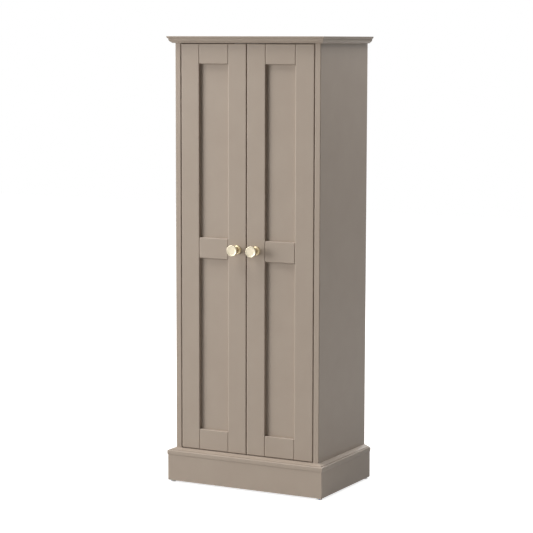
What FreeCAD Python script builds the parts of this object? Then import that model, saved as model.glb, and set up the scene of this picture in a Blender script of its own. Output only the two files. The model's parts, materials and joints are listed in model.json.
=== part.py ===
import FreeCAD, Part
import math
import os

Vector = FreeCAD.Vector

# A tall two-door bathroom cabinet. Millimetres, +Z up, the doors face -Y.
# The origin is on the floor, in the middle of the cabinet's outer box.

# Carcass
overall_height = 1115.0
carcass_width = 400.0
carcass_depth = 260.0
board_thickness = 15.0
back_thickness = 3.0
back_rebate_width = 7.0
edge_easing = 1.5
fit_clearance = 0.1
shelf_setback = 42.0
shelf_end_clearance = 1.0
wall_rail_height = 60.0
wall_hole_diameter = 5.5
wall_hole_spacing = 256.0

# Moulded edge of the top board, from the top face down
top_thickness = 16.5
cornice_overhang = 16.0
cornice_lip = 1.5
cornice_splay = 1.5
cornice_splay_height = 3.3
cornice_cove_radius = 2.0
cornice_round_radius = 8.0
cornice_round_turn = 65.0
cornice_base_overhang = 5.5

# Plinth and feet
plinth_height = 64.5
plinth_thickness = 15.5
moulding_height = 18.0
bead_overhang = 1.5
bead_rise = 4.0
nose_radius = 2.5
moulding_step = 1.2
slope_run = 12.0
slope_drop = 4.4
glide_height = 4.5
glide_diameter = 15.0
glide_flat_diameter = 9.0
glide_side_height = 1.4
glide_inset = 10.0

# Doors
door_thickness = 16.0
door_gap = 1.8
door_end_gap = 1.5
frame_easing = 2.0
stile_width = 50.6
top_rail_height = 49.0
middle_rail_height = 51.0
bottom_rail_height = 51.5
middle_rail_centre = 596.0
panel_thickness = 4.0
panel_recess = 8.0
groove_depth = 8.0
panel_play = 1.0

# Knobs, turned about an axis square to the door
knob_projection = 28.0
knob_head_diameter = 28.0
knob_head_thickness = 6.0
knob_edge_round = 1.2
knob_rim_width = 2.6
knob_dish_depth = 0.5
knob_throat_diameter = 19.2
knob_neck_diameter = 13.5
knob_collar_diameter = 18.0
knob_base_diameter = 22.0
knob_base_thickness = 3.0
knob_thread_depth = 9.0
knob_screw_diameter = 4.0
knob_screw_head_diameter = 8.0
knob_screw_head_height = 2.6

# Single-pivot concealed hinges
hinge_inset = 110.0
swing_clearance = 0.4
hinge_axis_from_back = 8.0
hinge_pin_diameter = 3.0
hinge_running_clearance = 0.05
hinge_eye_wall = 1.5
hinge_eye_length = 22.0
cup_diameter = 35.0
cup_depth = 12.5
cup_wall = 1.0
cup_edge_distance = 4.5
cup_axis_offset = 7.5
cup_flange_thickness = 1.2
cup_flange_rim = 2.5
cup_wing_length = 60.0
cup_wing_width = 14.0
cup_wing_offset = 3.0
cup_screw_spacing = 48.0
arm_thickness = 2.6
arm_width = 12.0
neck_heading = 24.0
neck_length = 10.0
neck_radius = 9.0
tail_bend_radius = 4.0
tail_length = 42.0
plate_thickness = 2.7
plate_height = 18.0
plate_wing_height = 48.0
plate_wing_width = 14.0
plate_screw_spacing = 32.0
clamp_screw_diameter = 4.0
clamp_head_diameter = 8.0
clamp_head_height = 2.2
clamp_screw_depth = 8.0
clamp_from_tail_end = 9.0

# Magnetic catch under the top board, and its strike plates
catch_width = 60.0
catch_depth = 20.0
catch_height = 12.0
catch_corner_round = 2.0
catch_ear_length = 14.0
catch_ear_thickness = 3.0
catch_air_gap = 0.3
pole_thickness = 1.6
pole_height = 6.0
pole_length = 8.0
pole_reach = 0.6
pole_spacing = 10.0
strike_thickness = 1.0
strike_width = 26.0
strike_height = 9.0
strike_inset = 1.0
strike_edge_distance = 4.0
strike_corner_round = 1.5

# Fasteners
screw_head_diameter = 7.0
screw_head_height = 2.0
screw_shank_diameter = 3.5
screw_length = 12.0
strike_screw_length = 9.0
back_screw_head_diameter = 5.0
back_screw_head_height = 1.4
back_screw_shank_diameter = 2.4
back_screw_length = 11.0
back_screw_edge_distance = 3.5
back_screws_each_side = 5
dowel_diameter = 8.0
dowel_length = 30.0
dowel_in_board = 11.0
cam_diameter = 15.0
cam_depth = 12.0
cam_setback = 24.0
cam_slot_width = 1.4
cam_slot_length = 9.0
cam_slot_depth = 2.0
cam_bolt_thread_diameter = 6.0
cam_bolt_thread_depth = 11.0
cam_bolt_shaft_diameter = 4.4
cam_bolt_head_diameter = 6.8
cam_bolt_head_length = 4.0
cam_from_front = 62.0
cam_from_back = 48.0
pin_diameter = 5.0
pin_hole_depth = 9.0
pin_plug_length = 8.0
pin_flange_diameter = 7.0
pin_flange_thickness = 1.2
pin_tongue_length = 8.0
pin_flat_height = 1.0
pin_from_front = 70.0
pin_from_back = 55.0
pin_hole_pitch = 32.0
pin_holes_each_way = 2

# Planes that the pieces share
half_width = carcass_width / 2
inner_half = half_width - board_thickness
front = (knob_projection - carcass_depth) / 2
back = front + carcass_depth
top_underside = overall_height - top_thickness
plinth_top = glide_height + plinth_height
floor_top = plinth_top + moulding_height
floor_underside = floor_top - board_thickness
back_face = back - back_thickness
rail_face = back_face - board_thickness
moulding_projection = plinth_thickness + bead_overhang
door_back = front + door_thickness
door_left = -inner_half + door_gap
door_right = -door_gap / 2
door_bottom = floor_top + door_end_gap
door_top = top_underside - door_end_gap
middle_rail_top = middle_rail_centre + middle_rail_height / 2
middle_rail_bottom = middle_rail_centre - middle_rail_height / 2
groove_front = front + panel_recess - fit_clearance
groove_back = front + panel_recess + panel_thickness + fit_clearance
fixed_shelf_height = middle_rail_centre - board_thickness / 2
fixed_shelf_top = fixed_shelf_height + board_thickness
upper_shelf_height = (fixed_shelf_top + top_underside - board_thickness) / 2
lower_shelf_height = (floor_top + fixed_shelf_height - board_thickness) / 2
shelf_front = front + shelf_setback
knob_x = door_right - stile_width / 2
hinge_heights = [door_bottom + hinge_inset, door_top - hinge_inset]

# The hinge axis lies inside the door's thickness, far enough from the side panel
# for the door's eased front corner to swing past it, and for the cup to miss the door's edge.
cup_radius = cup_diameter / 2
axis_depth = door_thickness - hinge_axis_from_back
axis_for_swing = frame_easing + (
    door_gap ** 2 - swing_clearance ** 2 + (axis_depth - frame_easing) ** 2
) / (2 * (door_gap - swing_clearance))
axis_for_cup = door_gap + cup_edge_distance + cup_radius - cup_axis_offset
axis_from_side = max(axis_for_swing, axis_for_cup)
axis_x = -inner_half + axis_from_side
axis_y = front + axis_depth
cup_x = axis_x + cup_axis_offset
strike_x = door_right - strike_edge_distance - strike_width / 2
strike_face = door_back + strike_thickness
pole_face = strike_face + catch_air_gap
catch_face = pole_face + pole_reach

parts = {}
bores = {}


def mirrored(shape):
    return shape.mirror(Vector(0, 0, 0), Vector(1, 0, 0))


def with_mirror(shapes):
    return shapes + [mirrored(shape) for shape in shapes]


def add_pair(stem, shape):
    parts["left_" + stem] = shape
    parts["right_" + stem] = mirrored(shape)


def bore(name, tool):
    bores.setdefault(name, []).append(tool)


def bore_pair(stem, tool):
    bore("left_" + stem, tool)
    bore("right_" + stem, mirrored(tool))


def bore_both_ends(name, tool):
    bore(name, tool)
    bore(name, mirrored(tool))


def block(x0, x1, y0, y1, z0, z1):
    return Part.makeBox(x1 - x0, y1 - y0, z1 - z0, Vector(x0, y0, z0))


def rod(diameter, start, direction, length):
    return Part.makeCylinder(diameter / 2, length, start, direction)


def placed(shape, origin, along, facing):
    """Moves a shape from its own frame: its X turns to along and its Z to facing."""
    across = facing.cross(along)
    matrix = FreeCAD.Matrix(
        along.x, across.x, facing.x, origin.x,
        along.y, across.y, facing.y, origin.y,
        along.z, across.z, facing.z, origin.z,
        0, 0, 0, 1,
    )
    moved = shape.copy()
    moved.Placement = FreeCAD.Placement(matrix)
    return moved


def face(place, start, *steps):
    """A closed face. A step is an end point, or a middle and an end point of an arc."""
    edges = []
    here = start
    for step in list(steps) + [[start]]:
        end = step[-1]
        if len(step) == 1:
            edges.append(Part.LineSegment(place(*here), place(*end)).toShape())
        else:
            edges.append(Part.Arc(place(*here), place(*step[0]), place(*end)).toShape())
        here = end
    return Part.Face(Part.Wire(edges))


def on_circle(centre, radius, degrees):
    angle = math.radians(degrees)
    return (centre[0] + radius * math.cos(angle), centre[1] + radius * math.sin(angle))


def plan_prism(points, z0, z1):
    outline = face(lambda x, y: Vector(x, y, z0), points[0], *[[point] for point in points[1:]])
    return outline.extrude(Vector(0, 0, z1 - z0))


def eased(shape, chosen, radius=edge_easing):
    """Rounds the edges that the test picks out."""
    return shape.makeFillet(radius, [edge for edge in shape.Edges if chosen(edge)])


def in_plane_y(edge, y):
    return all(abs(vertex.Y - y) < 1e-6 for vertex in edge.Vertexes)


def in_plane_z(edge, z):
    return all(abs(vertex.Z - z) < 1e-6 for vertex in edge.Vertexes)


def length_along(edge, direction):
    return abs((edge.Vertexes[-1].Point - edge.Vertexes[0].Point).dot(direction))


def is_upright(edge):
    return length_along(edge, Vector(0, 0, 1)) > 1e-6


def runs_along_x(edge):
    return length_along(edge, Vector(1, 0, 0)) > 1e-6


def runs_along_y(edge):
    return length_along(edge, Vector(0, 1, 0)) > 1e-6


def front_mitre(projection, z0, z1):
    points = [
        (-half_width, front),
        (half_width, front),
        (half_width + projection, front - projection),
        (-half_width - projection, front - projection),
    ]
    return plan_prism(points, z0, z1)


def left_mitre(projection, z0, z1):
    points = [
        (-half_width, front),
        (-half_width - projection, front - projection),
        (-half_width - projection, back),
        (-half_width, back),
    ]
    return plan_prism(points, z0, z1)


def countersunk_screw(head_diameter, head_height, shank_diameter, length):
    """Head flush with Z = 0, point towards -Z."""
    head = Part.makeCone(shank_diameter / 2, head_diameter / 2, head_height, Vector(0, 0, -head_height))
    shank = rod(shank_diameter, Vector(0, 0, -length), Vector(0, 0, 1), length - head_height)
    return head.fuse(shank).removeSplitter()


def pan_screw(head_diameter, head_height, shank_diameter, length):
    """Underside of the head at Z = 0, point towards -Z."""
    head = rod(head_diameter, Vector(0, 0, 0), Vector(0, 0, 1), head_height)
    rim = [edge for edge in head.Edges if in_plane_z(edge, head_height)]
    head = head.makeFillet(head_height / 2, rim)
    shank = rod(shank_diameter, Vector(0, 0, -length), Vector(0, 0, 1), length)
    return head.fuse(shank)


def make_side_panels():
    panel = block(-half_width, -inner_half, front, back, glide_height, top_underside)
    panel = eased(panel, lambda edge: is_upright(edge) and in_plane_y(edge, front))
    rebate = block(-inner_half - back_rebate_width, -inner_half, back_face, back,
                   floor_underside, top_underside)
    add_pair("side_panel", panel.cut(rebate))


def make_top_board():
    """Two sections cross each other, so the moulding turns the front corners in a mitre."""
    lip_foot = overall_height - cornice_lip
    splay_foot = (cornice_overhang - cornice_splay, lip_foot - cornice_splay_height)
    cove_centre = (splay_foot[0], splay_foot[1] - cornice_cove_radius)
    round_centre = (cove_centre[0] - cornice_cove_radius - cornice_round_radius, cove_centre[1])
    steps = [
        [(cornice_overhang, overall_height)],
        [(cornice_overhang, lip_foot)],
        [splay_foot],
        [on_circle(cove_centre, cornice_cove_radius, 135), on_circle(cove_centre, cornice_cove_radius, 180)],
        [on_circle(round_centre, cornice_round_radius, -cornice_round_turn / 2),
         on_circle(round_centre, cornice_round_radius, -cornice_round_turn)],
        [(cornice_base_overhang, top_underside)],
    ]
    reach = half_width + cornice_overhang
    front_section = face(lambda out, z: Vector(-reach, front - out, z),
                         (-carcass_depth, overall_height), *steps, [(-carcass_depth, top_underside)])
    side_section = face(lambda out, z: Vector(-half_width - out, front - cornice_overhang, z),
                        (-half_width, overall_height), *steps, [(-half_width, top_underside)])
    half_board = side_section.extrude(Vector(0, carcass_depth + cornice_overhang, 0))
    across = half_board.fuse(mirrored(half_board)).removeSplitter()
    along = front_section.extrude(Vector(2 * reach, 0, 0))
    parts["top_board"] = along.common(across)


def make_inner_boards():
    parts["bottom_panel"] = block(-inner_half, inner_half, front, back_face, floor_underside, floor_top)
    parts["fixed_shelf"] = eased(
        block(-inner_half, inner_half, shelf_front, back_face,
              fixed_shelf_height, fixed_shelf_top),
        lambda edge: in_plane_y(edge, shelf_front) and runs_along_x(edge))
    shelf_half = inner_half - shelf_end_clearance
    for name, height in [("upper_shelf", upper_shelf_height), ("lower_shelf", lower_shelf_height)]:
        shelf = block(-shelf_half, shelf_half, shelf_front, back_face - shelf_end_clearance,
                      height, height + board_thickness)
        parts[name] = eased(shelf, lambda edge: in_plane_y(edge, shelf_front) and runs_along_x(edge))


def make_back_and_rails():
    panel_half = inner_half + back_rebate_width - fit_clearance
    parts["back_panel"] = block(-panel_half, panel_half, back_face, back, floor_underside, top_underside)
    rail_bottom = top_underside - wall_rail_height
    parts["wall_rail"] = block(-inner_half, inner_half, rail_face, back_face, rail_bottom, top_underside)
    hole_z = top_underside - wall_rail_height / 2
    hole = rod(wall_hole_diameter, Vector(-wall_hole_spacing / 2, rail_face, hole_z), Vector(0, 1, 0),
               board_thickness + back_thickness)
    bore_both_ends("wall_rail", hole)
    bore_both_ends("back_panel", hole)
    parts["base_front_rail"] = block(-inner_half, inner_half, front, front + board_thickness,
                                     glide_height, floor_underside)
    parts["base_back_rail"] = block(-inner_half, inner_half, back - board_thickness, back,
                                    glide_height, floor_underside)


def make_plinth():
    parts["plinth_front"] = front_mitre(plinth_thickness, glide_height, plinth_top)
    side_board = left_mitre(plinth_thickness, glide_height, plinth_top)
    parts["plinth_left"] = side_board
    parts["plinth_right"] = mirrored(side_board)


def make_plinth_mouldings():
    """A bead, a rounded nose, a small step and a slope that runs up to the carcass."""
    bead_radius = (bead_overhang ** 2 + bead_rise ** 2) / (2 * bead_overhang)
    bead_centre = (moulding_projection - bead_radius, plinth_top + bead_rise)
    bead_angle = math.degrees(math.asin(bead_rise / bead_radius))
    slope_foot = floor_top - slope_drop
    nose_top = slope_foot - moulding_step
    nose_centre = (moulding_projection - nose_radius, nose_top - nose_radius)
    steps = [
        [(plinth_thickness, plinth_top)],
        [on_circle(bead_centre, bead_radius, -bead_angle / 2), on_circle(bead_centre, bead_radius, 0)],
        [(moulding_projection, nose_centre[1])],
        [on_circle(nose_centre, nose_radius, 45), on_circle(nose_centre, nose_radius, 90)],
        [(slope_run, nose_top)],
        [(slope_run, slope_foot)],
        [(0, floor_top)],
    ]
    reach = half_width + moulding_projection
    front_section = face(lambda out, z: Vector(-reach, front - out, z), (0, plinth_top), *steps)
    side_section = face(lambda out, z: Vector(-half_width - out, front - moulding_projection, z),
                        (0, plinth_top), *steps)
    front_length = front_section.extrude(Vector(2 * reach, 0, 0))
    side_length = side_section.extrude(Vector(0, carcass_depth + moulding_projection, 0))
    parts["plinth_moulding_front"] = front_length.common(
        front_mitre(moulding_projection, plinth_top, floor_top))
    side_moulding = side_length.common(left_mitre(moulding_projection, plinth_top, floor_top))
    parts["plinth_moulding_left"] = side_moulding
    parts["plinth_moulding_right"] = mirrored(side_moulding)


def make_foot_glides():
    """Nail-on glides with a flat tread and a rounded side."""
    radius = glide_diameter / 2
    flat = glide_flat_diameter / 2
    rise = glide_height - glide_side_height
    swell = (flat + (radius - flat) * math.sqrt(0.5), rise * (1 - math.sqrt(0.5)))
    section = face(lambda r, z: Vector(r, 0, z), (0, 0), [(flat, 0)], [swell, (radius, rise)],
                   [(radius, glide_height)], [(0, glide_height)])
    glide = section.revolve(Vector(0, 0, 0), Vector(0, 0, 1), 360)
    x = -half_width - plinth_thickness + glide_inset
    glides = []
    for y in [front - plinth_thickness + glide_inset, back - glide_inset]:
        foot = glide.copy()
        foot.translate(Vector(x, y, 0))
        glides.append(foot)
    parts["foot_glides"] = Part.makeCompound(with_mirror(glides))


def make_shelf_pins():
    """Spade pins: a plug in the side panel, a flange and a tongue with a flat top."""
    plug = rod(pin_diameter, Vector(-pin_plug_length, 0, 0), Vector(1, 0, 0), pin_plug_length)
    flange = rod(pin_flange_diameter, Vector(0, 0, 0), Vector(1, 0, 0), pin_flange_thickness)
    tongue = rod(pin_flange_diameter, Vector(0, 0, 0), Vector(1, 0, 0), pin_tongue_length)
    above = block(0, pin_tongue_length, -pin_flange_diameter, pin_flange_diameter,
                  pin_flat_height, pin_flange_diameter)
    below = block(pin_flange_thickness, pin_tongue_length, -pin_flange_diameter, pin_flange_diameter,
                  -pin_flange_diameter, -pin_flat_height)
    pin = plug.fuse([flange, tongue]).cut([above, below]).removeSplitter()
    hole = rod(pin_diameter + 2 * fit_clearance, Vector(-pin_hole_depth, 0, 0), Vector(1, 0, 0),
               pin_hole_depth)
    pins = []
    for y in [front + pin_from_front, back - pin_from_back]:
        for height in [upper_shelf_height, lower_shelf_height]:
            seat = Vector(-inner_half, y, height - pin_flat_height)
            pins.append(placed(pin, seat, Vector(1, 0, 0), Vector(0, 0, 1)))
            for step in range(-pin_holes_each_way, pin_holes_each_way + 1):
                spot = seat + Vector(0, 0, step * pin_hole_pitch)
                bore_pair("side_panel", placed(hole, spot, Vector(1, 0, 0), Vector(0, 0, 1)))
    parts["shelf_pins"] = Part.makeCompound(with_mirror(pins))


def make_joint_fittings():
    """Cams, bolts and dowels. In their own frame the joint is at X = 0 and the cam shows at +Z."""
    bolt_reach = cam_setback + cam_bolt_head_length / 2
    neck_start = bolt_reach - cam_bolt_head_length
    thread = rod(cam_bolt_thread_diameter, Vector(-cam_bolt_thread_depth, 0, 0), Vector(1, 0, 0),
                 cam_bolt_thread_depth)
    shaft = rod(cam_bolt_shaft_diameter, Vector(0, 0, 0), Vector(1, 0, 0), neck_start)
    head = rod(cam_bolt_head_diameter, Vector(neck_start, 0, 0), Vector(1, 0, 0), cam_bolt_head_length)
    bolt = thread.fuse([shaft, head]).removeSplitter()
    bolt_tunnel = rod(cam_bolt_head_diameter + 2 * fit_clearance, Vector(0, 0, 0), Vector(1, 0, 0),
                      bolt_reach + fit_clearance)
    thread_hole = rod(cam_bolt_thread_diameter + 2 * fit_clearance,
                      Vector(-cam_bolt_thread_depth - fit_clearance, 0, 0), Vector(1, 0, 0),
                      cam_bolt_thread_depth + fit_clearance)
    shown = board_thickness / 2
    cam_axis = Vector(cam_setback, 0, shown - cam_depth)
    slot = block(cam_setback - cam_slot_length / 2, cam_setback + cam_slot_length / 2,
                 -cam_slot_width / 2, cam_slot_width / 2, shown - cam_slot_depth, shown)
    cross_slot = slot.copy()
    cross_slot.rotate(Vector(cam_setback, 0, 0), Vector(0, 0, 1), 90)
    lock = rod(cam_diameter, cam_axis, Vector(0, 0, 1), cam_depth).cut([bolt_tunnel, slot, cross_slot])
    cam_hole = rod(cam_diameter + 2 * fit_clearance, cam_axis, Vector(0, 0, 1), cam_depth)
    cam_bore = cam_hole.fuse(bolt_tunnel)
    dowel = rod(dowel_diameter, Vector(-dowel_in_board, 0, 0), Vector(1, 0, 0), dowel_length)
    dowel_hole = rod(dowel_diameter + 2 * fit_clearance, Vector(-dowel_in_board - fit_clearance, 0, 0),
                     Vector(1, 0, 0), dowel_length + 2 * fit_clearance)

    inward = Vector(1, 0, 0)
    down = Vector(0, 0, -1)
    locks = []
    bolts = []
    dowels = []
    cam_places = [front + cam_from_front, back - cam_from_back]
    middle = (cam_places[0] + cam_places[1]) / 2
    for name, height in [("bottom_panel", floor_underside), ("fixed_shelf", fixed_shelf_height)]:
        level = height + board_thickness / 2
        for y in cam_places:
            spot = Vector(-inner_half, y, level)
            locks.append(placed(lock, spot, inward, down))
            bolts.append(placed(bolt, spot, inward, down))
            bore_both_ends(name, placed(cam_bore, spot, inward, down))
            bore_pair("side_panel", placed(thread_hole, spot, inward, down))
        spot = Vector(-inner_half, middle, level)
        dowels.append(placed(dowel, spot, inward, down))
        bore_both_ends(name, placed(dowel_hole, spot, inward, down))
        bore_pair("side_panel", placed(dowel_hole, spot, inward, down))

    side_middle = -half_width + board_thickness / 2
    for y in cam_places:
        spot = Vector(side_middle, y, top_underside)
        locks.append(placed(lock, spot, down, inward))
        bolts.append(placed(bolt, spot, down, inward))
        bore_pair("side_panel", placed(cam_bore, spot, down, inward))
        bore_both_ends("top_board", placed(thread_hole, spot, down, inward))
    spot = Vector(side_middle, middle, top_underside)
    dowels.append(placed(dowel, spot, down, inward))
    bore_both_ends("top_board", placed(dowel_hole, spot, down, inward))
    bore_pair("side_panel", placed(dowel_hole, spot, down, inward))

    base_level = (glide_height + floor_underside) / 2
    rail_level = top_underside - wall_rail_height / 2
    rail_ends = [
        ("wall_rail", rail_face + board_thickness / 2, rail_level),
        ("base_front_rail", front + board_thickness / 2, base_level),
        ("base_back_rail", back - board_thickness / 2, base_level),
    ]
    for name, y, level in rail_ends:
        spot = Vector(-inner_half, y, level)
        dowels.append(placed(dowel, spot, inward, down))
        bore_both_ends(name, placed(dowel_hole, spot, inward, down))
        bore_pair("side_panel", placed(dowel_hole, spot, inward, down))

    parts["cam_locks"] = Part.makeCompound(with_mirror(locks))
    parts["cam_bolts"] = Part.makeCompound(with_mirror(bolts))
    parts["dowels"] = Part.makeCompound(with_mirror(dowels))


def make_back_screws():
    screw = countersunk_screw(back_screw_head_diameter, back_screw_head_height,
                              back_screw_shank_diameter, back_screw_length)
    x = -inner_half - back_rebate_width + back_screw_edge_distance
    lowest = floor_underside + board_thickness / 2
    highest = top_underside - board_thickness
    screws = []
    for index in range(back_screws_each_side):
        z = lowest + (highest - lowest) * index / (back_screws_each_side - 1)
        placed_screw = placed(screw, Vector(x, back, z), Vector(1, 0, 0), Vector(0, 1, 0))
        screws.append(placed_screw)
        bore_both_ends("back_panel", placed_screw)
        bore_pair("side_panel", placed_screw)
    for name, level in [("bottom_panel", lowest), ("fixed_shelf", fixed_shelf_height + board_thickness / 2)]:
        placed_screw = placed(screw, Vector(-inner_half / 2, back, level), Vector(1, 0, 0), Vector(0, 1, 0))
        screws.append(placed_screw)
        bore_both_ends("back_panel", placed_screw)
        bore_both_ends(name, placed_screw)
    parts["back_panel_screws"] = Part.makeCompound(with_mirror(screws))


def door_member(x0, x1, z0, z1):
    """A frame member with eased front edges, which leave a V-groove where two members meet."""
    member = block(x0, x1, front, door_back, z0, z1)
    return eased(member, lambda edge: in_plane_y(edge, front), frame_easing)


def make_door_frames():
    """Stiles grooved all along, rails with stub tenons in the grooves, panels held all round."""
    left_opening = door_left + stile_width
    right_opening = door_right - stile_width
    left_groove = block(left_opening - groove_depth, left_opening, groove_front, groove_back,
                        door_bottom, door_top)
    right_groove = block(right_opening, right_opening + groove_depth, groove_front, groove_back,
                         door_bottom, door_top)
    add_pair("door_hinge_stile",
             door_member(door_left, left_opening, door_bottom, door_top).cut(left_groove))
    add_pair("door_meeting_stile",
             door_member(right_opening, door_right, door_bottom, door_top).cut(right_groove))

    upper_opening = (middle_rail_top, door_top - top_rail_height)
    lower_opening = (door_bottom + bottom_rail_height, middle_rail_bottom)
    tenon_reach = groove_depth - fit_clearance
    slots = []
    for bottom, top in [upper_opening, lower_opening]:
        slots.append(block(left_opening - groove_depth, right_opening + groove_depth,
                           groove_front, groove_back, bottom - groove_depth, top + groove_depth))
    rails = [
        ("door_top_rail", upper_opening[1], door_top),
        ("door_middle_rail", lower_opening[1], upper_opening[0]),
        ("door_bottom_rail", door_bottom, lower_opening[0]),
    ]
    for name, bottom, top in rails:
        tenon = block(left_opening - tenon_reach, right_opening + tenon_reach,
                      groove_front + fit_clearance, groove_back - fit_clearance, bottom, top)
        rail = door_member(left_opening, right_opening, bottom, top).fuse(tenon).cut(slots)
        add_pair(name, rail.removeSplitter())

    tuck = groove_depth - panel_play
    for name, opening in [("door_upper_panel", upper_opening), ("door_lower_panel", lower_opening)]:
        panel = block(left_opening - tuck, right_opening + tuck,
                      front + panel_recess, front + panel_recess + panel_thickness,
                      opening[0] - tuck, opening[1] + tuck)
        add_pair(name, panel)


def make_knobs():
    """Base collar, waisted neck and a disc head with a raised rim, with a screw from behind."""
    head_radius = knob_head_diameter / 2
    head_back = knob_projection - knob_head_thickness
    base_radius = knob_base_diameter / 2
    neck_middle = (knob_base_thickness + head_back) / 2
    rim_inner = head_radius - knob_rim_width
    dish = knob_projection - knob_dish_depth
    corner = knob_edge_round * (1 - math.sqrt(0.5))
    section = face(
        lambda r, out: Vector(knob_x + r, front - out, middle_rail_centre), (0, 0),
        [(base_radius, 0)],
        [(base_radius, knob_base_thickness - knob_edge_round)],
        [(base_radius - corner, knob_base_thickness - corner),
         (base_radius - knob_edge_round, knob_base_thickness)],
        [(knob_collar_diameter / 2, knob_base_thickness)],
        [(knob_neck_diameter / 2, neck_middle), (knob_throat_diameter / 2, head_back)],
        [(head_radius - knob_edge_round, head_back)],
        [(head_radius - corner, head_back + corner), (head_radius, head_back + knob_edge_round)],
        [(head_radius, knob_projection - knob_edge_round)],
        [(head_radius - corner, knob_projection - corner), (head_radius - knob_edge_round, knob_projection)],
        [(rim_inner, knob_projection)],
        [(rim_inner - knob_dish_depth, dish)],
        [(0, dish)])
    knob = section.revolve(Vector(knob_x, 0, middle_rail_centre), Vector(0, 1, 0), 360)
    screw_length = door_thickness + knob_thread_depth
    screw = pan_screw(knob_screw_head_diameter, knob_screw_head_height, knob_screw_diameter, screw_length)
    screw = placed(screw, Vector(knob_x, door_back, middle_rail_centre), Vector(1, 0, 0), Vector(0, 1, 0))
    hole = rod(knob_screw_diameter + 2 * fit_clearance,
               Vector(knob_x, front - knob_thread_depth - fit_clearance, middle_rail_centre),
               Vector(0, 1, 0), screw_length + fit_clearance)
    add_pair("knob", knob.cut(hole))
    add_pair("knob_screw", screw)
    bore_pair("door_meeting_stile", hole)


def hinge_cup_and_pin(height):
    """A pressed cup with a winged flange. The pin is held in the cup's wall."""
    out = Vector(0, 1, 0)
    floor = door_back - cup_depth
    centre = Vector(cup_x, floor, height)
    rim = Vector(cup_x, door_back, height)
    inner_diameter = cup_diameter - 2 * cup_wall
    body = rod(cup_diameter, centre, out, cup_depth)
    collar = rod(cup_diameter + 2 * cup_flange_rim, rim, out, cup_flange_thickness)
    wing_x = cup_x + cup_wing_offset
    wings = block(wing_x - cup_wing_width / 2, wing_x + cup_wing_width / 2,
                  door_back, door_back + cup_flange_thickness,
                  height - cup_wing_length / 2, height + cup_wing_length / 2)
    corners = [edge for edge in wings.Edges if runs_along_y(edge)]
    wings = wings.makeFillet(cup_wing_width / 3, corners)
    hollow = rod(inner_diameter, centre + out * cup_wall, out, cup_depth + cup_flange_thickness)
    pin_edge = cup_axis_offset + hinge_pin_diameter / 2
    pin_half = math.sqrt(cup_radius ** 2 - pin_edge ** 2)
    pin = rod(hinge_pin_diameter, Vector(axis_x, axis_y, height - pin_half), Vector(0, 0, 1), 2 * pin_half)
    cup = body.fuse([collar, wings]).removeSplitter().cut([hollow, pin])
    bore_hole = rod(cup_diameter + 2 * fit_clearance, centre - out * fit_clearance, out,
                    cup_depth + fit_clearance)
    return cup, pin, bore_hole


def bent_strip(start, heading, moves, thickness):
    """Plan outline of a strip that runs straight, then turns, for each length, turn and radius."""
    half = thickness / 2
    here = start
    edges = []
    ends = []
    for length, turn, radius in moves:
        ahead = Vector(math.cos(math.radians(heading)), math.sin(math.radians(heading)), 0)
        left = Vector(-ahead.y, ahead.x, 0)
        if not ends:
            ends.append((here + left * half, here - left * half))
        there = here + ahead * length
        for side in [left * half, left * -half]:
            edges.append(Part.LineSegment(here + side, there + side).toShape())
        here = there
        if turn:
            way = math.copysign(1, turn)
            centre = here + left * (radius * way)
            spin = FreeCAD.Rotation(Vector(0, 0, 1), turn)
            half_spin = FreeCAD.Rotation(Vector(0, 0, 1), turn / 2)
            for reach in [radius - half, radius + half]:
                spoke = left * (-reach * way)
                edges.append(Part.Arc(centre + spoke, centre + half_spin.multVec(spoke),
                                      centre + spin.multVec(spoke)).toShape())
            here = centre + spin.multVec(left * (-radius * way))
            heading += turn
    ends.append((edges[-2].Vertexes[-1].Point, edges[-1].Vertexes[-1].Point))
    for first, second in ends:
        edges.append(Part.LineSegment(first, second).toShape())
    return Part.Face(Part.Wire(Part.__sortEdges__(edges)))


def hinge_arm(height):
    """A gooseneck: it leaves the pin across the cup, turns back round the door's edge to the plate."""
    slope = math.radians(neck_heading)
    crest_x = axis_from_side + neck_length * math.cos(slope) - neck_radius * math.sin(slope)
    return_length = crest_x - tail_bend_radius - plate_thickness - arm_thickness / 2
    moves = [
        (neck_length, 180 - neck_heading, neck_radius),
        (return_length, -90, tail_bend_radius),
        (tail_length, 0, 0),
    ]
    outline = bent_strip(Vector(axis_x, axis_y, height - arm_width / 2), neck_heading, moves, arm_thickness)
    strip = outline.extrude(Vector(0, 0, arm_width))
    bore_diameter = hinge_pin_diameter + 2 * hinge_running_clearance
    eye_start = Vector(axis_x, axis_y, height - hinge_eye_length / 2)
    eye = rod(bore_diameter + 2 * hinge_eye_wall, eye_start, Vector(0, 0, 1), hinge_eye_length)
    eye_bore = rod(bore_diameter, eye_start, Vector(0, 0, 1), hinge_eye_length)
    tail_start = (axis_y + neck_length * math.sin(slope) + neck_radius * math.cos(slope)
                  + neck_radius + tail_bend_radius)
    return strip.fuse(eye).cut(eye_bore), tail_start


def mounting_plate(height, tail_start):
    """A cross-shaped plate under the arm's tail, screwed to the side panel through its wings."""
    spine = block(-inner_half, -inner_half + plate_thickness, tail_start, tail_start + tail_length,
                  height - plate_height / 2, height + plate_height / 2)
    wing_y = tail_start + tail_length / 2
    wings = block(-inner_half, -inner_half + plate_thickness,
                  wing_y - plate_wing_width / 2, wing_y + plate_wing_width / 2,
                  height - plate_wing_height / 2, height + plate_wing_height / 2)
    corners = [edge for edge in wings.Edges if runs_along_x(edge)]
    wings = wings.makeFillet(plate_wing_width / 3, corners)
    return spine.fuse(wings).removeSplitter(), wing_y


def fitting_screw():
    return countersunk_screw(screw_head_diameter, screw_head_height, screw_shank_diameter, screw_length)


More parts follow.
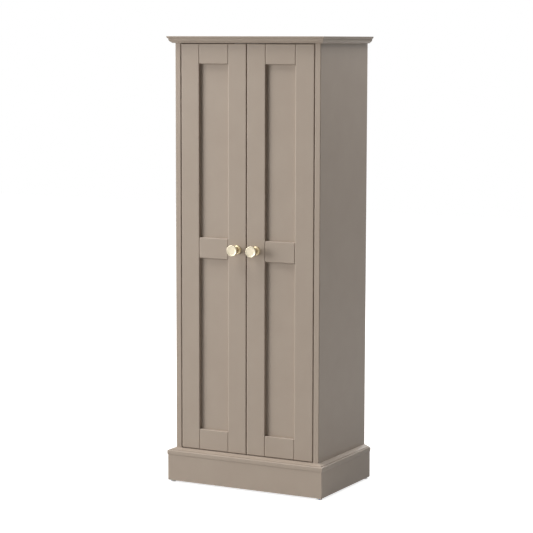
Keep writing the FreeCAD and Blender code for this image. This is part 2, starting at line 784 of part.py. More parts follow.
def make_hinges():
    plate_screw = fitting_screw()
    clamp = pan_screw(clamp_head_diameter, clamp_head_height, clamp_screw_diameter,
                      clamp_screw_depth + plate_thickness + arm_thickness)
    pins = []
    cup_screws = []
    plates = []
    plate_screws = []
    clamps = []
    for level, height in zip(["lower", "upper"], hinge_heights):
        cup, pin, cup_hole = hinge_cup_and_pin(height)
        pins.append(pin)
        bore_pair("door_hinge_stile", cup_hole)
        for z in [height - cup_screw_spacing / 2, height + cup_screw_spacing / 2]:
            spot = Vector(cup_x + cup_wing_offset, door_back + cup_flange_thickness, z)
            screw = placed(plate_screw, spot, Vector(1, 0, 0), Vector(0, 1, 0))
            cup_screws.append(screw)
            cup = cup.cut(screw)
            bore_pair("door_hinge_stile", screw)
        add_pair("door_" + level + "_hinge_cup", cup)

        arm, tail_start = hinge_arm(height)
        plate, wing_y = mounting_plate(height, tail_start)
        for z in [height - plate_screw_spacing / 2, height + plate_screw_spacing / 2]:
            screw = placed(plate_screw, Vector(-inner_half + plate_thickness, wing_y, z),
                           Vector(0, 1, 0), Vector(1, 0, 0))
            plate_screws.append(screw)
            plate = plate.cut(screw)
            bore_pair("side_panel", screw)
        clamp_spot = Vector(-inner_half + plate_thickness + arm_thickness,
                            tail_start + tail_length - clamp_from_tail_end, height)
        screw = placed(clamp, clamp_spot, Vector(0, 1, 0), Vector(1, 0, 0))
        clamps.append(screw)
        plates.append(plate.cut(screw))
        bore_pair("side_panel", screw)
        add_pair(level + "_hinge_arm", arm.cut(screw))
    add_pair("door_hinge_pins", Part.makeCompound(pins))
    parts["hinge_plates"] = Part.makeCompound(with_mirror(plates))
    parts["hinge_clamp_screws"] = Part.makeCompound(with_mirror(clamps))
    return cup_screws, plate_screws


def make_catch(cup_screws, plate_screws):
    """A double magnetic catch: its pole plates stop just short of the doors' strike plates."""
    catch_bottom = top_underside - catch_height
    body = block(-catch_width / 2, catch_width / 2, catch_face, catch_face + catch_depth,
                 catch_bottom, top_underside)
    lower_edges = [edge for edge in body.Edges if in_plane_z(edge, catch_bottom)]
    body = body.makeFillet(catch_corner_round, lower_edges)
    ear_half = catch_width / 2 + catch_ear_length
    ears = block(-ear_half, ear_half, catch_face, catch_face + catch_depth,
                 top_underside - catch_ear_thickness, top_underside)
    ears = ears.makeFillet(catch_corner_round, [edge for edge in ears.Edges if is_upright(edge)])
    housing = body.fuse(ears).removeSplitter()

    pole_bottom = catch_bottom + catch_corner_round
    poles = []
    for index in range(2):
        x = strike_x - pole_spacing / 2 + index * pole_spacing
        poles.append(block(x - pole_thickness / 2, x + pole_thickness / 2, pole_face, pole_face + pole_length,
                           pole_bottom, pole_bottom + pole_height))
    poles = with_mirror(poles)
    ear_spot = Vector(-catch_width / 2 - catch_ear_length / 2, catch_face + catch_depth / 2,
                      top_underside - catch_ear_thickness)
    ear_screw = placed(fitting_screw(), ear_spot, Vector(1, 0, 0), Vector(0, 0, -1))
    ear_screws = with_mirror([ear_screw])
    parts["catch_housing"] = housing.cut(poles + ear_screws)
    parts["catch_poles"] = Part.makeCompound(poles)
    bore_both_ends("top_board", ear_screw)
    parts["hardware_screws"] = Part.makeCompound(with_mirror(plate_screws) + ear_screws)

    strike_top = door_top - strike_inset
    plate = block(strike_x - strike_width / 2, strike_x + strike_width / 2, door_back, strike_face,
                  strike_top - strike_height, strike_top)
    corners = [edge for edge in plate.Edges if runs_along_y(edge)]
    plate = plate.makeFillet(strike_corner_round, corners)
    strike_screw = countersunk_screw(back_screw_head_diameter, strike_thickness, back_screw_shank_diameter,
                                     strike_screw_length)
    strike_screw = placed(strike_screw, Vector(strike_x, strike_face, strike_top - strike_height / 2),
                          Vector(1, 0, 0), Vector(0, 1, 0))
    add_pair("strike_plate", plate.cut(strike_screw))
    add_pair("door_screws", Part.makeCompound(cup_screws + [strike_screw]))
    bore_pair("door_meeting_stile", strike_screw)
    bore_pair("door_top_rail", strike_screw)


def write_parts():
    os.makedirs("parts", exist_ok=True)
    for name, tools in bores.items():
        parts[name] = parts[name].cut(tools)
    for name, shape in parts.items():
        shape.exportStep(os.path.join("parts", name + ".step"))
        state = "valid" if shape.isValid() else "not valid"
        print(name, len(shape.Solids), "solids", round(shape.Volume), "mm3", state)
    print(len(parts), "nodes")


make_side_panels()
make_top_board()
make_inner_boards()
make_back_and_rails()
make_plinth()
make_plinth_mouldings()
make_foot_glides()
make_shelf_pins()
make_joint_fittings()
make_back_screws()
make_door_frames()
make_knobs()
hinge_cup_screws, hinge_plate_screws = make_hinges()
make_catch(hinge_cup_screws, hinge_plate_screws)
write_parts()
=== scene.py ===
import json
import math

import bmesh
import bpy
from mathutils import Matrix, Vector


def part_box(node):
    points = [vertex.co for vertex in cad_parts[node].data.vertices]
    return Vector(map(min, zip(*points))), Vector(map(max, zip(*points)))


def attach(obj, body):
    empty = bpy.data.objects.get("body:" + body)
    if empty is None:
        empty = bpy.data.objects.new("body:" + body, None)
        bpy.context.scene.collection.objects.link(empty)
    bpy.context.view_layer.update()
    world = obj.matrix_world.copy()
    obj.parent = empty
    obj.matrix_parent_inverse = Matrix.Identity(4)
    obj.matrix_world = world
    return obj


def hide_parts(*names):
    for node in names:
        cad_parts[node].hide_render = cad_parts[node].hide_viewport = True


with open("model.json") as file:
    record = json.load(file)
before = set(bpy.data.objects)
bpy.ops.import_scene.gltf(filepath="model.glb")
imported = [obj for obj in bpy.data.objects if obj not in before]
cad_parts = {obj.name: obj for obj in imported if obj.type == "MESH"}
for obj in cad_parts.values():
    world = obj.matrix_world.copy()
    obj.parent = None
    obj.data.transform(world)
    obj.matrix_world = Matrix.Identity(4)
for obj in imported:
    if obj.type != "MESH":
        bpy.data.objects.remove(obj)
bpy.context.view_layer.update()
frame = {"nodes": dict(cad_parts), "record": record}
nodes = frame["nodes"]
mm = 0.001  # lengths in the settings are in mm, those of the studio in metres
mixShare, mixFrom, mixTo, mixed = 0, 6, 7, 2  # a colour Mix node's sockets and its output
print("frame loaded:", len(nodes), "nodes")


def colour(code):  # sRGB hex to the linear values that a shader takes
    parts = [int(code[i:i + 2], 16) / 255 for i in (0, 2, 4)]
    return [p / 12.92 if p <= 0.04045 else ((p + 0.055) / 1.055) ** 2.4 for p in parts] + [1.0]


def addNode(tree, kind, settings=None, links=None):
    made = tree.nodes.new(kind)
    for key, value in (settings or {}).items():  # a setting is the node's own or a socket's value
        if isinstance(key, str) and hasattr(made, key):
            setattr(made, key, value)
        else:
            made.inputs[key].default_value = value
    for key, (source, output) in (links or {}).items():  # a link comes from another node's output
        tree.links.new(source.outputs[output], made.inputs[key])
    return made


def newMaterial(name):
    made = bpy.data.materials.new(name)
    made.use_nodes = True
    made.node_tree.nodes.clear()
    return made, made.node_tree


# MDF with a sprayed satin paint: one even taupe, a faint cloudiness and a fine orange peel
paint = {
    "light": "aea092", "dark": "a69789", "ior": 1.34,
    "roughLow": 0.36, "roughHigh": 0.46,
    "cloud": 70, "sheenPatch": 25, "peel": 1.6, "peelDepth": 0.012,
}


def satinPaintedMdf():
    made, tree = newMaterial("satinPaintedMdf")
    where = addNode(tree, "ShaderNodeTexCoord")
    cloud = addNode(tree, "ShaderNodeTexNoise", {"Scale": 1 / (paint["cloud"] * mm), "Detail": 4.0},
                    {"Vector": (where, "Object")})
    tint = addNode(tree, "ShaderNodeMix",
                   {"data_type": "RGBA", mixFrom: colour(paint["dark"]), mixTo: colour(paint["light"])},
                   {mixShare: (cloud, 0)})
    patch = addNode(tree, "ShaderNodeTexNoise", {"Scale": 1 / (paint["sheenPatch"] * mm), "Detail": 2.0},
                    {"Vector": (where, "Object")})
    rough = addNode(tree, "ShaderNodeMapRange", {"To Min": paint["roughLow"], "To Max": paint["roughHigh"]},
                    {"Value": (patch, 0)})
    peel = addNode(tree, "ShaderNodeTexNoise", {"Scale": 1 / (paint["peel"] * mm), "Detail": 1.0},
                   {"Vector": (where, "Object")})
    bump = addNode(tree, "ShaderNodeBump", {"Strength": 1.0, "Distance": paint["peelDepth"] * mm},
                   {"Height": (peel, 0)})
    shader = addNode(tree, "ShaderNodeBsdfPrincipled", {"IOR": paint["ior"]},
                     {"Base Color": (tint, mixed), "Roughness": (rough, 0), "Normal": (bump, 0)})
    addNode(tree, "ShaderNodeOutputMaterial", {}, {"Surface": (shader, 0)})
    return made


# Hardboard: pressed brown fibres towards the wall, a taupe film on the side that shows inside
hardboard = {
    "fibreLight": "96805f", "fibreDark": "6d5840", "filmLight": "aca091", "filmDark": "a4978a", "ior": 1.5,
    "rawFrom": 142.5,  # how far back the film ends and the bare fibres start
    "filmRough": 0.46, "rawRough": 0.85,
    "fibreWidth": 0.9, "fibreLength": 7.0,  # real fibres are finer, drawn wider so they show
    "pressMark": 1.8, "markDepth": 0.08, "filmRelief": 0.08,  # the film hides all but this share of the marks
    "cloud": 60,
}


def filmedHardboard():
    made, tree = newMaterial("filmedHardboard")
    where = addNode(tree, "ShaderNodeTexCoord")
    axes = addNode(tree, "ShaderNodeSeparateXYZ", {}, {0: (where, "Object")})
    raw = addNode(tree, "ShaderNodeMath", {"operation": "GREATER_THAN", 1: hardboard["rawFrom"] * mm},
                  {0: (axes, "Y")})
    across = 1 / (hardboard["fibreWidth"] * mm)
    lengthwise = 1 / (hardboard["fibreLength"] * mm)
    stretch = addNode(tree, "ShaderNodeMapping", {"Scale": (across, 1.0, lengthwise)},
                      {"Vector": (where, "Object")})
    fibre = addNode(tree, "ShaderNodeTexNoise", {"Scale": 1.0, "Detail": 5.0, "Roughness": 0.65},
                    {"Vector": (stretch, 0)})
    brown = addNode(tree, "ShaderNodeMix",
                    {"data_type": "RGBA", mixFrom: colour(hardboard["fibreDark"]),
                     mixTo: colour(hardboard["fibreLight"])}, {mixShare: (fibre, 0)})
    cloud = addNode(tree, "ShaderNodeTexNoise", {"Scale": 1 / (hardboard["cloud"] * mm), "Detail": 3.0},
                    {"Vector": (where, "Object")})
    film = addNode(tree, "ShaderNodeMix",
                   {"data_type": "RGBA", mixFrom: colour(hardboard["filmDark"]),
                    mixTo: colour(hardboard["filmLight"])}, {mixShare: (cloud, 0)})
    tint = addNode(tree, "ShaderNodeMix", {"data_type": "RGBA"},
                   {mixShare: (raw, 0), mixFrom: (film, mixed), mixTo: (brown, mixed)})
    rough = addNode(tree, "ShaderNodeMapRange",
                    {"To Min": hardboard["filmRough"], "To Max": hardboard["rawRough"]}, {"Value": (raw, 0)})
    press = addNode(tree, "ShaderNodeTexNoise", {"Scale": 1 / (hardboard["pressMark"] * mm), "Detail": 3.0},
                    {"Vector": (where, "Object")})
    relief = addNode(tree, "ShaderNodeMapRange", {"To Min": hardboard["filmRelief"], "To Max": 1.0},
                     {"Value": (raw, 0)})
    bump = addNode(tree, "ShaderNodeBump", {"Distance": hardboard["markDepth"] * mm},
                   {"Height": (press, 0), "Strength": (relief, 0)})
    shader = addNode(tree, "ShaderNodeBsdfPrincipled", {"IOR": hardboard["ior"]},
                     {"Base Color": (tint, mixed), "Roughness": (rough, 0), "Normal": (bump, 0)})
    addNode(tree, "ShaderNodeOutputMaterial", {}, {"Surface": (shader, 0)})
    return made


# Beech dowel rod: pale pinkish wood with short darker flecks along the grain
beech = {
    "light": "d8b78a", "dark": "b98f62", "roughLow": 0.55, "roughHigh": 0.7, "ior": 1.5,
    "grain": 0.8, "fleckLength": 6.0,  # real flecks are smaller, drawn larger so they show
    "grainDepth": 0.05, "relief": 0.6,
}


def planedBeech():
    made, tree = newMaterial("planedBeech")
    where = addNode(tree, "ShaderNodeTexCoord")
    across = 1 / (beech["grain"] * mm)
    lengthwise = 1 / (beech["fleckLength"] * mm)
    stretch = addNode(tree, "ShaderNodeMapping", {"Scale": (lengthwise, across, across)},
                      {"Vector": (where, "Object")})
    grain = addNode(tree, "ShaderNodeTexNoise", {"Scale": 1.0, "Detail": 4.0}, {"Vector": (stretch, 0)})
    tint = addNode(tree, "ShaderNodeMix",
                   {"data_type": "RGBA", mixFrom: colour(beech["dark"]), mixTo: colour(beech["light"])},
                   {mixShare: (grain, 0)})
    rough = addNode(tree, "ShaderNodeMapRange", {"To Min": beech["roughHigh"], "To Max": beech["roughLow"]},
                    {"Value": (grain, 0)})
    bump = addNode(tree, "ShaderNodeBump",
                   {"Strength": beech["relief"], "Distance": beech["grainDepth"] * mm},
                   {"Height": (grain, 0)})
    shader = addNode(tree, "ShaderNodeBsdfPrincipled", {"IOR": beech["ior"]},
                     {"Base Color": (tint, mixed), "Roughness": (rough, 0), "Normal": (bump, 0)})
    addNode(tree, "ShaderNodeOutputMaterial", {}, {"Surface": (shader, 0)})
    return made


# Brass, turned and satin finished: fine rings spread the reflections, a greyer face coloured as a painted
# reflection of the lamps, a paler stem
knobLow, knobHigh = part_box("right_knob")
brass = {
    "light": "bcb39f", "dark": "aba083", "stem": "cfc09d", "roughLow": 0.30, "roughHigh": 0.42,
    "ringPitch": 0.55, "ringDepth": 0.006,  # the real tool marks are finer, drawn wider so they show
    "tarnish": 9.0, "tarnishFrom": 0.35, "tarnishTo": 0.75, "tarnishMost": 0.35,
    "faceFull": 0.8, "faceEnd": 2.4,  # between these depths the face's painted reflection fades into the stem's colour
}


def satinTurnedBrass():
    made, tree = newMaterial("satinTurnedBrass")
    where = addNode(tree, "ShaderNodeTexCoord")
    both = addNode(tree, "ShaderNodeVectorMath", {"operation": "ABSOLUTE"},
                   {0: (where, "Object")})  # lays the left knob on the right one
    centre = ((knobLow.x + knobHigh.x) / 2, -knobLow.y, (knobLow.z + knobHigh.z) / 2)  # of the knob's front
    local = addNode(tree, "ShaderNodeVectorMath", {"operation": "SUBTRACT", 1: centre}, {0: (both, 0)})
    flat = addNode(tree, "ShaderNodeVectorMath", {"operation": "MULTIPLY", 1: (1.0, 0.0, 1.0)},
                   {0: (local, 0)})
    radius = addNode(tree, "ShaderNodeVectorMath", {"operation": "LENGTH"}, {0: (flat, 0)})
    axes = addNode(tree, "ShaderNodeSeparateXYZ", {}, {0: (local, 0)})
    run = addNode(tree, "ShaderNodeMath", {"operation": "ADD"}, {0: (radius, "Value"), 1: (axes, "Y")})
    turns = addNode(tree, "ShaderNodeMath",
                    {"operation": "MULTIPLY", 1: 2 * math.pi / (brass["ringPitch"] * mm)}, {0: (run, 0)})
    ring = addNode(tree, "ShaderNodeMath", {"operation": "SINE"}, {0: (turns, 0)})
    rough = addNode(tree, "ShaderNodeMapRange",
                    {"From Min": -1.0, "To Min": brass["roughLow"], "To Max": brass["roughHigh"]},
                    {"Value": (ring, 0)})
    tarnish = addNode(tree, "ShaderNodeTexNoise", {"Scale": 1 / (brass["tarnish"] * mm), "Detail": 5.0},
                      {"Vector": (where, "Object")})
    share = addNode(tree, "ShaderNodeMapRange",
                    {"From Min": brass["tarnishFrom"], "From Max": brass["tarnishTo"],
                     "To Max": brass["tarnishMost"]}, {"Value": (tarnish, 0)})
    # the face's two brass colours are raised to paint in the lamps' reflection, mottled by the tarnish
    reflectionFaceTint = addNode(tree, "ShaderNodeMix",
                       {"data_type": "RGBA", mixFrom: colour(brass["light"]), mixTo: colour(brass["dark"])},
                       {mixShare: (share, 0)})
    # share of the painted reflection: full on the face, none on the stem
    face = addNode(tree, "ShaderNodeMapRange",
                   {"From Min": -brass["faceEnd"] * mm, "From Max": -brass["faceFull"] * mm},
                   {"Value": (axes, "Y")})
    tint = addNode(tree, "ShaderNodeMix", {"data_type": "RGBA", mixFrom: colour(brass["stem"])},
                   {mixShare: (face, 0), mixTo: (reflectionFaceTint, mixed)})
    bump = addNode(tree, "ShaderNodeBump", {"Strength": 1.0, "Distance": brass["ringDepth"] * mm},
                   {"Height": (ring, 0)})
    shader = addNode(tree, "ShaderNodeBsdfPrincipled", {"Metallic": 1.0},
                     {"Base Color": (tint, mixed), "Roughness": (rough, 0), "Normal": (bump, 0)})
    addNode(tree, "ShaderNodeOutputMaterial", {}, {"Surface": (shader, 0)})
    return made


# Three metals of the fittings share a build: two greys clouded together, gloss to match and a fine relief
fittingMetals = {
    "zinc": {  # die cast: a dull grey skin, slightly pebbled
        "name": "dieCastZinc", "light": "b4b5b3", "dark": "8f908e",
        "roughLow": 0.42, "roughHigh": 0.6, "cloud": 4.0, "grit": 0.7, "gritDepth": 0.02},
    "nickel_plated_steel": {  # pressed and plated: smooth, warm and bright
        "name": "nickelPlatedSteel", "light": "d6d4cd", "dark": "bdbab1",
        "roughLow": 0.16, "roughHigh": 0.28, "cloud": 14.0, "grit": 1.1, "gritDepth": 0.003},
    "zinc_plated_steel": {  # plated and passivated: bluish and patchy
        "name": "brightZincPlatedSteel", "light": "c9ccd0", "dark": "a3a7ad",
        "roughLow": 0.26, "roughHigh": 0.42, "cloud": 3.0, "grit": 0.6, "gritDepth": 0.006},
}


def fittingMetal(setting):
    made, tree = newMaterial(setting["name"])
    where = addNode(tree, "ShaderNodeTexCoord")
    cloud = addNode(tree, "ShaderNodeTexNoise", {"Scale": 1 / (setting["cloud"] * mm), "Detail": 4.0},
                    {"Vector": (where, "Object")})
    tint = addNode(tree, "ShaderNodeMix",
                   {"data_type": "RGBA", mixFrom: colour(setting["dark"]), mixTo: colour(setting["light"])},
                   {mixShare: (cloud, 0)})
    rough = addNode(tree, "ShaderNodeMapRange",
                    {"To Min": setting["roughHigh"], "To Max": setting["roughLow"]}, {"Value": (cloud, 0)})
    grit = addNode(tree, "ShaderNodeTexNoise", {"Scale": 1 / (setting["grit"] * mm), "Detail": 2.0},
                   {"Vector": (where, "Object")})
    bump = addNode(tree, "ShaderNodeBump", {"Strength": 1.0, "Distance": setting["gritDepth"] * mm},
                   {"Height": (grit, 0)})
    shader = addNode(tree, "ShaderNodeBsdfPrincipled", {"Metallic": 1.0},
                     {"Base Color": (tint, mixed), "Roughness": (rough, 0), "Normal": (bump, 0)})
    addNode(tree, "ShaderNodeOutputMaterial", {}, {"Surface": (shader, 0)})
    return made


# Two moulded plastics: waxy whitish polyethylene for the glides, spark-textured off-white ABS for the catch
plastics = {
    "glide_plastic": {
        "name": "mouldedPolyethylene", "light": "efecef", "dark": "e2dee2", "ior": 1.5,
        "roughLow": 0.42, "roughHigh": 0.58, "cloud": 6.0, "spark": 0.9, "sparkDepth": 0.01,
        "glow": 0.3, "glowDepth": 1.5},
    "catch_plastic": {
        "name": "mouldedAbs", "light": "ddd9d1", "dark": "d2cdc4", "ior": 1.5,
        "roughLow": 0.38, "roughHigh": 0.5, "cloud": 12.0, "spark": 0.5, "sparkDepth": 0.02,
        "glow": 0.0, "glowDepth": 1.5},
}


def mouldedPlastic(setting):
    made, tree = newMaterial(setting["name"])
    where = addNode(tree, "ShaderNodeTexCoord")
    cloud = addNode(tree, "ShaderNodeTexNoise", {"Scale": 1 / (setting["cloud"] * mm), "Detail": 3.0},
                    {"Vector": (where, "Object")})
    tint = addNode(tree, "ShaderNodeMix",
                   {"data_type": "RGBA", mixFrom: colour(setting["dark"]), mixTo: colour(setting["light"])},
                   {mixShare: (cloud, 0)})
    spark = addNode(tree, "ShaderNodeTexVoronoi", {"Scale": 1 / (setting["spark"] * mm)},
                    {"Vector": (where, "Object")})
    rough = addNode(tree, "ShaderNodeMapRange",
                    {"To Min": setting["roughLow"], "To Max": setting["roughHigh"]}, {"Value": (cloud, 0)})
    bump = addNode(tree, "ShaderNodeBump", {"Strength": 1.0, "Distance": setting["sparkDepth"] * mm},
                   {"Height": (spark, 0)})
    shader = addNode(tree, "ShaderNodeBsdfPrincipled",
                     {"IOR": setting["ior"], "Subsurface Weight": setting["glow"],
                      "Subsurface Scale": setting["glowDepth"] * mm},
                     {"Base Color": (tint, mixed), "Roughness": (rough, 0), "Normal": (bump, 0)})
    addNode(tree, "ShaderNodeOutputMaterial", {}, {"Surface": (shader, 0)})
    return made


materials = {"painted_board": satinPaintedMdf(), "hardboard": filmedHardboard(), "beech": planedBeech(),
             "brass": satinTurnedBrass()}
for slot, setting in fittingMetals.items():
    materials[slot] = fittingMetal(setting)
for slot, setting in plastics.items():
    materials[slot] = mouldedPlastic(setting)

slotOf = {part["node"]: part["material_slot"] for part in frame["record"]["subparts"]}
bodyOf = {node: body for body, names in frame["record"]["behaviour"]["bodies"].items() for node in names}
for name, slot in slotOf.items():
    nodes[name].data.materials.clear()
    nodes[name].data.materials.append(materials[slot])
print("materials on", len(slotOf), "nodes")

finishing = {"merge": 0.001, "shadeAngle": 32}  # closer points are joined, flatter edges shade smooth


def standFor(node, name, bm):  # a finished bmesh takes the node's place, body and finish
    bmesh.ops.remove_doubles(bm, verts=bm.verts, dist=finishing["merge"] * mm)
    bmesh.ops.recalc_face_normals(bm, faces=bm.faces)
    for edge in bm.edges:
        edge.smooth = edge.calc_face_angle(0.0) < math.radians(finishing["shadeAngle"])
    for face in bm.faces:
        face.smooth = True
    mesh = bpy.data.meshes.new(name)
    bm.to_mesh(mesh)
    bm.free()
    mesh.materials.append(materials[slotOf[node]])
    made = bpy.data.objects.new(name, mesh)
    bpy.context.scene.collection.objects.link(made)
    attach(made, bodyOf[node])
    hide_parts(node)


# Turned knobs: half a section as a wire, its corners rounded, spun about the knob's axis
knob = {
    "steps": 112,
    "section": [(0, 0), (11, 0), (11, 3), (8.8, 3), (5.5, 12), (9.6, 22), (14, 22), (14, 28),
                (11.4, 28), (10.6, 27.4), (0, 27.4)],  # radius, distance out of the door
    "rounds": {2: (1.2, 5), 3: (0.5, 3), 4: (6.0, 12), 5: (0.8, 4), 6: (1.3, 6), 7: (1.3, 6),
               8: (0.5, 3), 9: (0.7, 4)},  # for a corner of the section: offset and segments
}


def turnedKnob(side):
    low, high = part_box(side + "_knob")
    foot = Vector(((low.x + high.x) / 2, high.y, (low.z + high.z) / 2))
    bm = bmesh.new()
    corners = [bm.verts.new((r * mm, -out * mm, 0)) for r, out in knob["section"]]
    for first, second in zip(corners, corners[1:]):
        bm.edges.new((first, second))
    for index, (offset, segments) in knob["rounds"].items():
        bmesh.ops.bevel(bm, geom=[corners[index]], offset=offset * mm, offset_type="OFFSET",
                        affect="VERTICES", segments=segments, profile=0.5, material=-1)
    bmesh.ops.spin(bm, geom=bm.verts[:] + bm.edges[:], cent=(0, 0, 0), axis=(0, 1, 0), angle=2 * math.pi,
                   steps=knob["steps"], use_merge=True)
    bmesh.ops.translate(bm, verts=bm.verts, vec=foot)
    standFor(side + "_knob", side + "TurnedKnob", bm)


for side in ("left", "right"):
    turnedKnob(side)
print("knobs turned")


# Screws: a driven cross in the head, then the head's rings and the shank drawn out of its rim
screws = {
    "segments": 40,
    "crossFoot": 0.55,  # the cross narrows to this share at its foot
    "turnEach": 37,  # degrees from one screw's cross to the next one's
    "shortUpTo": 10,  # a door's screws up to this length are the small ones
    # top: radius of the flat top; rings: radius and height; cross: half width, half length and depth
    "kinds": {
        "countersunk": {"top": 3.3, "rings": [(3.5, -0.2), (1.75, -2.0), (1.75, -11.2), (0.4, -12.0)],
                        "cross": (0.55, 2.1, 1.4)},
        "small": {"top": 2.3, "rings": [(2.5, -0.2), (1.2, -1.4), (1.2, -8.3), (0.3, -9.0)],
                  "cross": (0.4, 1.5, 0.9)},
        "panel": {"top": 2.3, "rings": [(2.5, -0.2), (1.2, -1.4), (1.2, -10.2), (0.3, -11.0)],
                  "cross": (0.4, 1.5, 0.9)},
        "clamp": {"top": 2.6, "rings": [(3.5, -0.3), (3.9, -0.9), (4.0, -1.5), (4.0, -2.2), (2.0, -2.2),
                                        (2.0, -15.5)], "cross": (0.6, 2.2, 1.3)},
        "knob": {"top": 2.4, "rings": [(3.4, -0.35), (3.9, -1.0), (4.0, -1.7), (4.0, -2.6), (2.0, -2.6),
                                       (2.0, -27.6)], "cross": (0.6, 2.2, 1.4)},
    },
}


def crossHeadScrew(setting):  # stands on its point along Z, with the top of its head at Z = 0
    halfWidth, halfLength, depth = setting["cross"]
    radius = setting["top"]
    bm = bmesh.new()
    bmesh.ops.create_circle(bm, segments=screws["segments"], radius=radius * mm)
    rim = bm.edges[:]
    quarter = [(halfLength, halfWidth), (halfWidth, halfWidth), (halfWidth, halfLength)]
    outline = []
    for quarterTurns in range(4):
        turn = Matrix.Rotation(quarterTurns * math.pi / 2, 3, "Z")
        outline += [bm.verts.new(turn @ Vector((x * mm, y * mm, 0))) for x, y in quarter]
    cross = [bm.edges.new((outline[i - 1], outline[i])) for i in range(len(outline))]
    bmesh.ops.triangle_fill(bm, use_beauty=True, edges=rim + cross)
    for face in bm.faces[:]:  # the fill also closes the cross itself, which stays open here
        if face.calc_center_median().length < halfWidth * mm or all(v in outline for v in face.verts):
            bm.faces.remove(face)
    drawn = bmesh.ops.extrude_edge_only(bm, edges=cross)["geom"]
    foot = [v for v in drawn if isinstance(v, bmesh.types.BMVert)]
    bmesh.ops.scale(bm, verts=foot, vec=(screws["crossFoot"], screws["crossFoot"], 1.0))
    bmesh.ops.translate(bm, verts=foot, vec=(0, 0, -depth * mm))
    bmesh.ops.contextual_create(bm, geom=[e for e in bm.edges if all(v in foot for v in e.verts)])
    for ring, height in setting["rings"]:
        drawn = bmesh.ops.extrude_edge_only(bm, edges=rim)["geom"]
        rim = [e for e in drawn if isinstance(e, bmesh.types.BMEdge) and all(v in drawn for v in e.verts)]
        loop = list({v for e in rim for v in e.verts})
        bmesh.ops.scale(bm, verts=loop, vec=(ring / radius, ring / radius, 1.0))
        for v in loop:
            v.co.z = height * mm
        radius = ring
    bmesh.ops.contextual_create(bm, geom=rim)
    bmesh.ops.recalc_face_normals(bm, faces=bm.faces)
    shape = bpy.data.meshes.new("crossHeadScrew")
    bm.to_mesh(shape)
    bm.free()
    return shape


screwShapes = {kind: crossHeadScrew(setting) for kind, setting in screws["kinds"].items()}


def islandBoxes(node):  # the corners of each separate solid of a node
    bm = bmesh.new()
    bm.from_mesh(nodes[node].data)
    bmesh.ops.remove_doubles(bm, verts=bm.verts, dist=finishing["merge"] * mm)
    left = set(bm.verts)
    boxes = []
    while left:
        pending = [left.pop()]
        found = []
        while pending:
            here = pending.pop()
            found.append(here.co.copy())
            for edge in here.link_edges:
                other = edge.other_vert(here)
                if other in left:
                    left.remove(other)
                    pending.append(other)
        low = Vector([min(p[i] for p in found) for i in range(3)])
        high = Vector([max(p[i] for p in found) for i in range(3)])
        boxes.append((low, high))
    bm.free()
    return sorted(boxes, key=lambda box: tuple(round(c, 6) for c in box[0]))  # the same order in each run


def driveScrews(node, name, kind, shortKind=None):  # one screw per solid of the node, head over head
    bm = bmesh.new()
    for index, (low, high) in enumerate(islandBoxes(node)):
        size = high - low
        middle = (low + high) / 2
        along = max(range(3), key=lambda i: size[i])
        if along == 0:
            facing = Vector((-math.copysign(1, middle.x), 0, 0))  # screws on the side panels face inwards
        elif along == 1:
            facing = Vector((0, 1, 0))  # doors and back panel are screwed from behind
        else:
            facing = Vector((0, 0, -1))  # the catch hangs under the top board
        head = middle + facing * (size[along] / 2)
        place = Matrix.Translation(head) @ facing.to_track_quat("Z", "Y").to_matrix().to_4x4()
        place = place @ Matrix.Rotation(math.radians(screws["turnEach"] * index), 4, "Z")
        short = shortKind and size[along] <= screws["shortUpTo"] * mm
        before = set(bm.verts)
        bm.from_mesh(screwShapes[shortKind if short else kind])
        bmesh.ops.transform(bm, matrix=place, verts=[v for v in bm.verts if v not in before])
    standFor(node, name, bm)


driveScrews("hardware_screws", "hingeAndCatchScrews", "countersunk")
driveScrews("hinge_clamp_screws", "hingeClampScrews", "clamp")
driveScrews("back_panel_screws", "backPanelScrews", "panel")
for side in ("left", "right"):
    driveScrews(side + "_door_screws", side + "DoorScrews", "countersunk", "small")
    driveScrews(side + "_knob_screw", side + "KnobScrew", "knob")
print("screws driven")

# Studio: soft lamps, placed by degrees round from the front to the right, degrees up and metres from the aim
lamps = {
    "key": {"turn": -56, "rise": 9, "away": 6.0, "size": (3.0, 2.8), "power": 292},  # front and left side
    "sky": {"turn": -55, "rise": 62, "away": 4.4, "size": (2.3, 2.1), "power": 160},  # top and front
    "rear": {"turn": 112, "rise": 64, "away": 2.2, "size": (1.2, 1.2), "power": 22},  # top and right side
    "back": {"turn": 174, "rise": 26, "away": 3.2, "size": (1.6, 1.6), "power": 40},  # back and right ledge
}
studio = {"aim": (0.0, 0.0, 0.58), "white": "ffffff", "worldLevel": 0.03, "backdropLevel": 1.0}


def softbox(name, setting):
    lamp = bpy.data.lights.new(name, "AREA")
    lamp.shape = "RECTANGLE"
    lamp.size, lamp.size_y = setting["size"]
    lamp.energy = setting["power"]
    turn, rise = math.radians(setting["turn"]), math.radians(setting["rise"])
    out = Vector((math.sin(turn) * math.cos(rise), -math.cos(turn) * math.cos(rise), math.sin(rise)))
    made = bpy.data.objects.new(name, lamp)
    made.location = Vector(studio["aim"]) + out * setting["away"]
    made.rotation_euler = (-out).to_track_quat("-Z", "Y").to_euler()
    bpy.context.scene.collection.objects.link(made)


for name, setting in lamps.items():
    softbox(name + "Softbox", setting)


def seenDirectly(tree):  # 1 where the camera, a mirror or glass looks, 0 where a surface is lit
    path = addNode(tree, "ShaderNodeLightPath")
    seen = addNode(tree, "ShaderNodeMath", {"operation": "MAXIMUM"},
                   {0: (path, "Is Camera Ray"), 1: (path, "Is Glossy Ray")})
    return addNode(tree, "ShaderNodeMath", {"operation": "MAXIMUM"},
                   {0: (seen, 0), 1: (path, "Is Transmission Ray")})


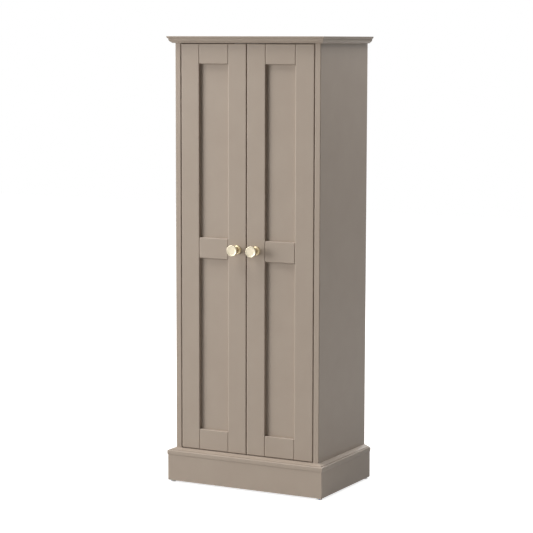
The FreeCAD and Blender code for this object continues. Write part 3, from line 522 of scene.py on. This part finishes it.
world = bpy.data.worlds.new("studioWorld")
bpy.context.scene.world = world
world.use_nodes = True
world.node_tree.nodes.clear()
level = addNode(world.node_tree, "ShaderNodeMapRange",
                {"To Min": studio["worldLevel"], "To Max": studio["backdropLevel"]},
                {"Value": (seenDirectly(world.node_tree), 0)})
light = addNode(world.node_tree, "ShaderNodeBackground", {"Color": colour(studio["white"])},
                {"Strength": (level, 0)})
addNode(world.node_tree, "ShaderNodeOutputWorld", {}, {"Surface": (light, 0)})

# Matt paper sweep: white to the eye, brighter away from the cabinet, with its soft shadow left in it
sweep = {"size": 14.0, "paper": "bab9b7", "near": 0.7, "far": 1.9, "glowNear": 0.8, "glowFar": 1.0}


def mattPaperSweep():
    made, tree = newMaterial("mattPaperSweep")
    where = addNode(tree, "ShaderNodeTexCoord")
    away = addNode(tree, "ShaderNodeVectorMath", {"operation": "LENGTH"}, {0: (where, "Object")})
    fade = addNode(tree, "ShaderNodeMapRange",
                   {"interpolation_type": "SMOOTHSTEP", "From Min": sweep["near"], "From Max": sweep["far"],
                    "To Min": sweep["glowNear"], "To Max": sweep["glowFar"]}, {"Value": (away, "Value")})
    share = addNode(tree, "ShaderNodeMath", {"operation": "MULTIPLY"},
                    {0: (fade, 0), 1: (seenDirectly(tree), 0)})
    matt = addNode(tree, "ShaderNodeBsdfDiffuse", {"Color": colour(sweep["paper"])})
    glow = addNode(tree, "ShaderNodeEmission", {"Color": colour(studio["white"])}, {"Strength": (share, 0)})
    both = addNode(tree, "ShaderNodeAddShader", {}, {0: (matt, 0), 1: (glow, 0)})
    addNode(tree, "ShaderNodeOutputMaterial", {}, {"Surface": (both, 0)})
    return made


bm = bmesh.new()
bmesh.ops.create_grid(bm, x_segments=1, y_segments=1, size=sweep["size"] / 2)
mesh = bpy.data.meshes.new("studioFloor")
bm.to_mesh(mesh)
bm.free()
mesh.materials.append(mattPaperSweep())
floor = bpy.data.objects.new("studioFloor", mesh)
bpy.context.scene.collection.objects.link(floor)
print("studio ready")

# Camera fitted to the photograph's edges: right of the front, level with the top and looking slightly down
view = {"at": (2.2287, -4.1867, 1.1067), "yaw": 28.093, "pitch": 6.76, "roll": -0.129,
        "lens": 129.19, "sensor": 36.0}
lens = bpy.data.cameras.new("productCamera")
lens.lens, lens.sensor_width = view["lens"], view["sensor"]
camera = bpy.data.objects.new("productCamera", lens)
turn = Matrix.Rotation(math.radians(view["yaw"]), 4, "Z")
turn = turn @ Matrix.Rotation(math.radians(90 - view["pitch"]), 4, "X")
roll = Matrix.Rotation(math.radians(-view["roll"]), 4, "Z")
camera.matrix_world = Matrix.Translation(view["at"]) @ turn @ roll
bpy.context.scene.collection.objects.link(camera)
bpy.context.scene.camera = camera
bpy.context.scene.view_settings.view_transform = "Standard"
print("camera ready")

bpy.context.view_layer.update()
